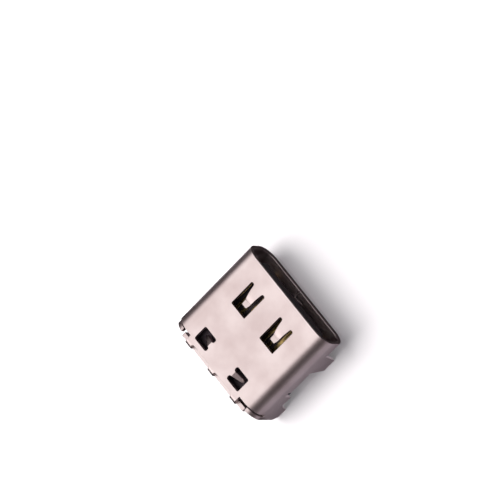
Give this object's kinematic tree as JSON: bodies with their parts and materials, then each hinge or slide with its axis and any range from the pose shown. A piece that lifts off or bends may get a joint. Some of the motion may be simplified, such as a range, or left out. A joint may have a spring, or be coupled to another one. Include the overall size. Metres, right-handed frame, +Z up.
{
  "type": "board-mounted power jack",
  "caption": "Reversible oval-mouth power and data jack for a circuit board, with a folded steel shell, a contact tongue and two rows of solder feet.",
  "frame": {"origin": "on the board's surface, which the underside of the shell touches, at the middle of the shell's width and of its depth from mouth to rear flap", "axes": "+X across the mouth, seen from above with the mouth towards the viewer to the right; +Y from the mouth to the rear; +Z up from the board"},
  "size_m": [0.009, 0.0078, 0.0038],
  "materials": {
    "shell_steel": "nickel plated, satin",
    "dark_plastic": "moulded, fine matt",
    "contact_gold": "gold plated, bright",
    "spring_steel": "rolled, bare"
  },
  "bodies": {
    "root": {"shell": "shell_steel", "housing": "dark_plastic", "upper_insert": "dark_plastic", "lower_insert": "dark_plastic", "middle_plate": "spring_steel", "ground_clip_top": "spring_steel", "ground_clip_bottom": "spring_steel", "contact_a01": "contact_gold", "contact_a02": "contact_gold", "contact_a03": "contact_gold", "contact_a04": "contact_gold", "contact_a05": "contact_gold", "contact_a06": "contact_gold", "contact_a07": "contact_gold", "contact_a08": "contact_gold", "contact_a09": "contact_gold", "contact_a10": "contact_gold", "contact_a11": "contact_gold", "contact_a12": "contact_gold", "contact_b01": "contact_gold", "contact_b02": "contact_gold", "contact_b03": "contact_gold", "contact_b04": "contact_gold", "contact_b05": "contact_gold", "contact_b06": "contact_gold", "contact_b07": "contact_gold", "contact_b08": "contact_gold", "contact_b09": "contact_gold", "contact_b10": "contact_gold", "contact_b11": "contact_gold", "contact_b12": "contact_gold"}
  },
  "joints": []
}
